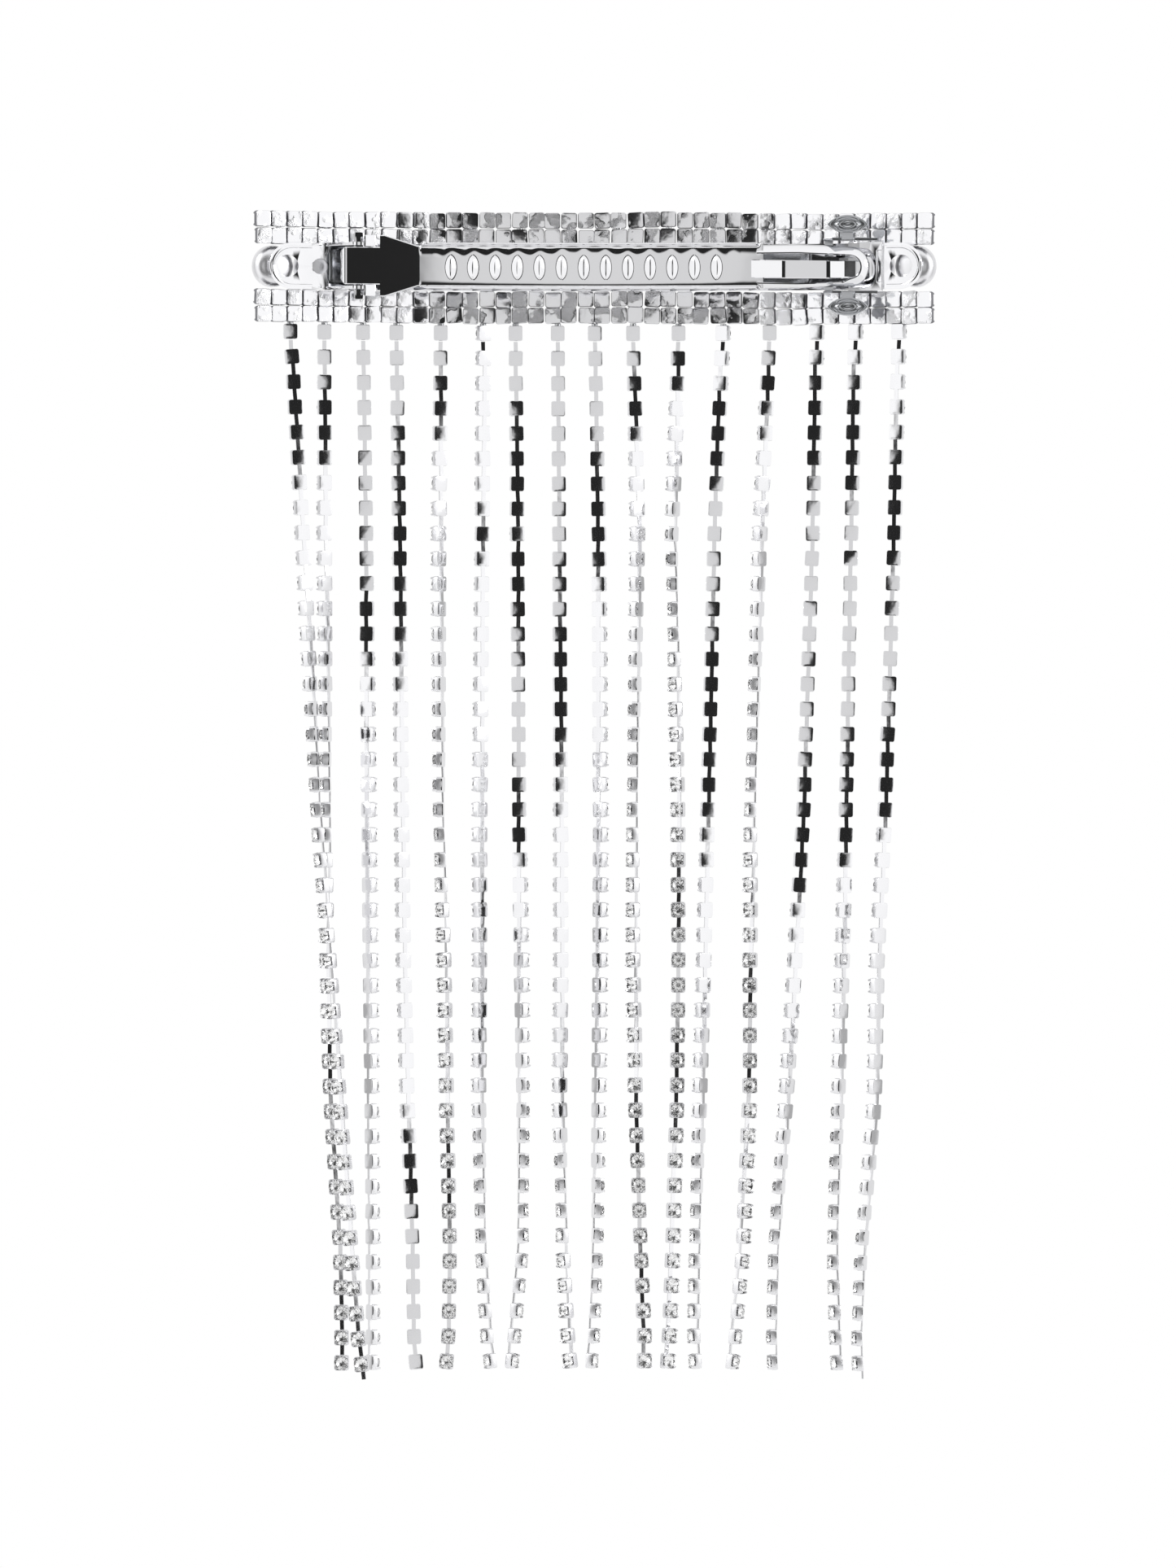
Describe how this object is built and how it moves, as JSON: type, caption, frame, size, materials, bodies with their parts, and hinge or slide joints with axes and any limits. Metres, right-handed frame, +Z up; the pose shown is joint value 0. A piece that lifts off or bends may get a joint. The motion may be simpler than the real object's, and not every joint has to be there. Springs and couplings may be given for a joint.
{
  "type": "rhinestone hair clip",
  "caption": "Curved sprung hair barrette faced with rows of round clear stones in silver cups, with a long fringe of hanging stone chains.",
  "frame": {"origin": "middle of the jaw gap between the closed clasp arm and the tension bar, at the clip's centre", "axes": "+X along the barrette towards the spring catch, +Y towards the stones' faces (away from the hair), +Z up, so the fringe hangs along -Z"},
  "size_m": [0.105, 0.0163, 0.1795],
  "materials": {
    "silver_plating": "bright plated brass cups and links",
    "crystal": "clear faceted glass, foiled at the back",
    "solder": "rough solder",
    "plated_base": "bright plated pressed steel",
    "polished_arm": "bright plated pressed steel",
    "spring_steel": "plated spring steel"
  },
  "bodies": {
    "base": {"base_plate": "plated_base", "catch_plate": "plated_base", "centre_row_cups": "silver_plating", "centre_row_stones": "crystal", "hanger_cups": "silver_plating", "hanger_stones": "crystal", "solder_joints": "solder", "top_outer_row_cups": "silver_plating", "top_inner_row_cups": "silver_plating", "bottom_inner_row_cups": "silver_plating", "bottom_outer_row_cups": "silver_plating", "top_outer_row_stones": "crystal", "top_inner_row_stones": "crystal", "bottom_inner_row_stones": "crystal", "bottom_outer_row_stones": "crystal"},
    "arm": {"clasp_arm": "polished_arm"},
    "tension_bar": {"tension_bar": "spring_steel"},
    "wing_upper": {"catch_wing_upper": "spring_steel"},
    "wing_lower": {"catch_wing_lower": "spring_steel"},
    "strand_01": {"strand_01_chain": "silver_plating", "strand_01_stones": "crystal"},
    "strand_02": {"strand_02_chain": "silver_plating", "strand_02_stones": "crystal"},
    "strand_03": {"strand_03_chain": "silver_plating", "strand_03_stones": "crystal"},
    "strand_04": {"strand_04_chain": "silver_plating", "strand_04_stones": "crystal"},
    "strand_05": {"strand_05_chain": "silver_plating", "strand_05_stones": "crystal"},
    "strand_06": {"strand_06_chain": "silver_plating", "strand_06_stones": "crystal"},
    "strand_07": {"strand_07_chain": "silver_plating", "strand_07_stones": "crystal"},
    "strand_08": {"strand_08_chain": "silver_plating", "strand_08_stones": "crystal"},
    "strand_09": {"strand_09_chain": "silver_plating", "strand_09_stones": "crystal"},
    "strand_10": {"strand_10_chain": "silver_plating", "strand_10_stones": "crystal"},
    "strand_11": {"strand_11_chain": "silver_plating", "strand_11_stones": "crystal"},
    "strand_12": {"strand_12_chain": "silver_plating", "strand_12_stones": "crystal"},
    "strand_13": {"strand_13_chain": "silver_plating", "strand_13_stones": "crystal"},
    "strand_14": {"strand_14_chain": "silver_plating", "strand_14_stones": "crystal"},
    "strand_15": {"strand_15_chain": "silver_plating", "strand_15_stones": "crystal"},
    "strand_16": {"strand_16_chain": "silver_plating", "strand_16_stones": "crystal"}
  },
  "joints": [
    {"name": "arm_hinge", "type": "hinge", "parent": "base", "child": "arm", "pos_m": [-0.036, -0.0058, 0], "axis": [0, 0, -1], "range_deg": [0, 75]},
    {"name": "tension_bar_lift", "type": "hinge", "parent": "base", "child": "tension_bar", "pos_m": [-0.0385, -0.00284, 0], "axis": [0, 0, -1], "range_deg": [0, 7.5]},
    {"name": "wing_upper_pinch", "type": "hinge", "parent": "base", "child": "wing_upper", "pos_m": [0.042, -0.0058, 0.00405], "axis": [0, -1, 0], "range_deg": [0, 4], "stiffness_Nm_per_rad": 0.05},
    {"name": "wing_lower_pinch", "type": "hinge", "parent": "base", "child": "wing_lower", "pos_m": [0.042, -0.0058, -0.00405], "axis": [0, 1, 0], "range_deg": [0, 4], "stiffness_Nm_per_rad": 0.05},
    {"name": "strand_01_swing", "type": "hinge", "parent": "base", "child": "strand_01", "pos_m": [-0.0466, -0.00347, -0.01141], "axis": [1, 0, 0], "range_deg": [-80, 0]},
    {"name": "strand_02_swing", "type": "hinge", "parent": "base", "child": "strand_02", "pos_m": [-0.0414, -0.00142, -0.01141], "axis": [1, 0, 0], "range_deg": [0, 80]},
    {"name": "strand_03_swing", "type": "hinge", "parent": "base", "child": "strand_03", "pos_m": [-0.0355, 0.00058, -0.01141], "axis": [1, 0, 0], "range_deg": [0, 80]},
    {"name": "strand_04_swing", "type": "hinge", "parent": "base", "child": "strand_04", "pos_m": [-0.0304, 0.00204, -0.01141], "axis": [1, 0, 0], "range_deg": [-80, 80]},
    {"name": "strand_05_swing", "type": "hinge", "parent": "base", "child": "strand_05", "pos_m": [-0.0236, 0.00361, -0.01141], "axis": [1, 0, 0], "range_deg": [-80, 80]},
    {"name": "strand_06_swing", "type": "hinge", "parent": "base", "child": "strand_06", "pos_m": [-0.0171, 0.00473, -0.01141], "axis": [1, 0, 0], "range_deg": [-80, 80]},
    {"name": "strand_07_swing", "type": "hinge", "parent": "base", "child": "strand_07", "pos_m": [-0.0121, 0.00534, -0.01141], "axis": [1, 0, 0], "range_deg": [-80, 80]},
    {"name": "strand_08_swing", "type": "hinge", "parent": "base", "child": "strand_08", "pos_m": [-0.0056, 0.00582, -0.01141], "axis": [1, 0, 0], "range_deg": [-80, 80]},
    {"name": "strand_09_swing", "type": "hinge", "parent": "base", "child": "strand_09", "pos_m": [0.0001, 0.00595, -0.01141], "axis": [1, 0, 0], "range_deg": [-80, 80]},
    {"name": "strand_10_swing", "type": "hinge", "parent": "base", "child": "strand_10", "pos_m": [0.006, 0.0058, -0.01141], "axis": [1, 0, 0], "range_deg": [-80, 80]},
    {"name": "strand_11_swing", "type": "hinge", "parent": "base", "child": "strand_11", "pos_m": [0.013, 0.00524, -0.01141], "axis": [1, 0, 0], "range_deg": [-80, 80]},
    {"name": "strand_12_swing", "type": "hinge", "parent": "base", "child": "strand_12", "pos_m": [0.0199, 0.00429, -0.01141], "axis": [1, 0, 0], "range_deg": [-80, 80]},
    {"name": "strand_13_swing", "type": "hinge", "parent": "base", "child": "strand_13", "pos_m": [0.027, 0.00287, -0.01141], "axis": [1, 0, 0], "range_deg": [-80, 80]},
    {"name": "strand_14_swing", "type": "hinge", "parent": "base", "child": "strand_14", "pos_m": [0.0343, 0.00094, -0.01141], "axis": [1, 0, 0], "range_deg": [-80, 80]},
    {"name": "strand_15_swing", "type": "hinge", "parent": "base", "child": "strand_15", "pos_m": [0.0402, -0.00098, -0.01141], "axis": [1, 0, 0], "range_deg": [-80, 80]},
    {"name": "strand_16_swing", "type": "hinge", "parent": "base", "child": "strand_16", "pos_m": [0.0468, -0.00355, -0.01141], "axis": [1, 0, 0], "range_deg": [-80, 80]}
  ],
  "couplings": [
    {"joint": "tension_bar_lift", "follows": "arm_hinge", "ratio": 0.1}
  ]
}
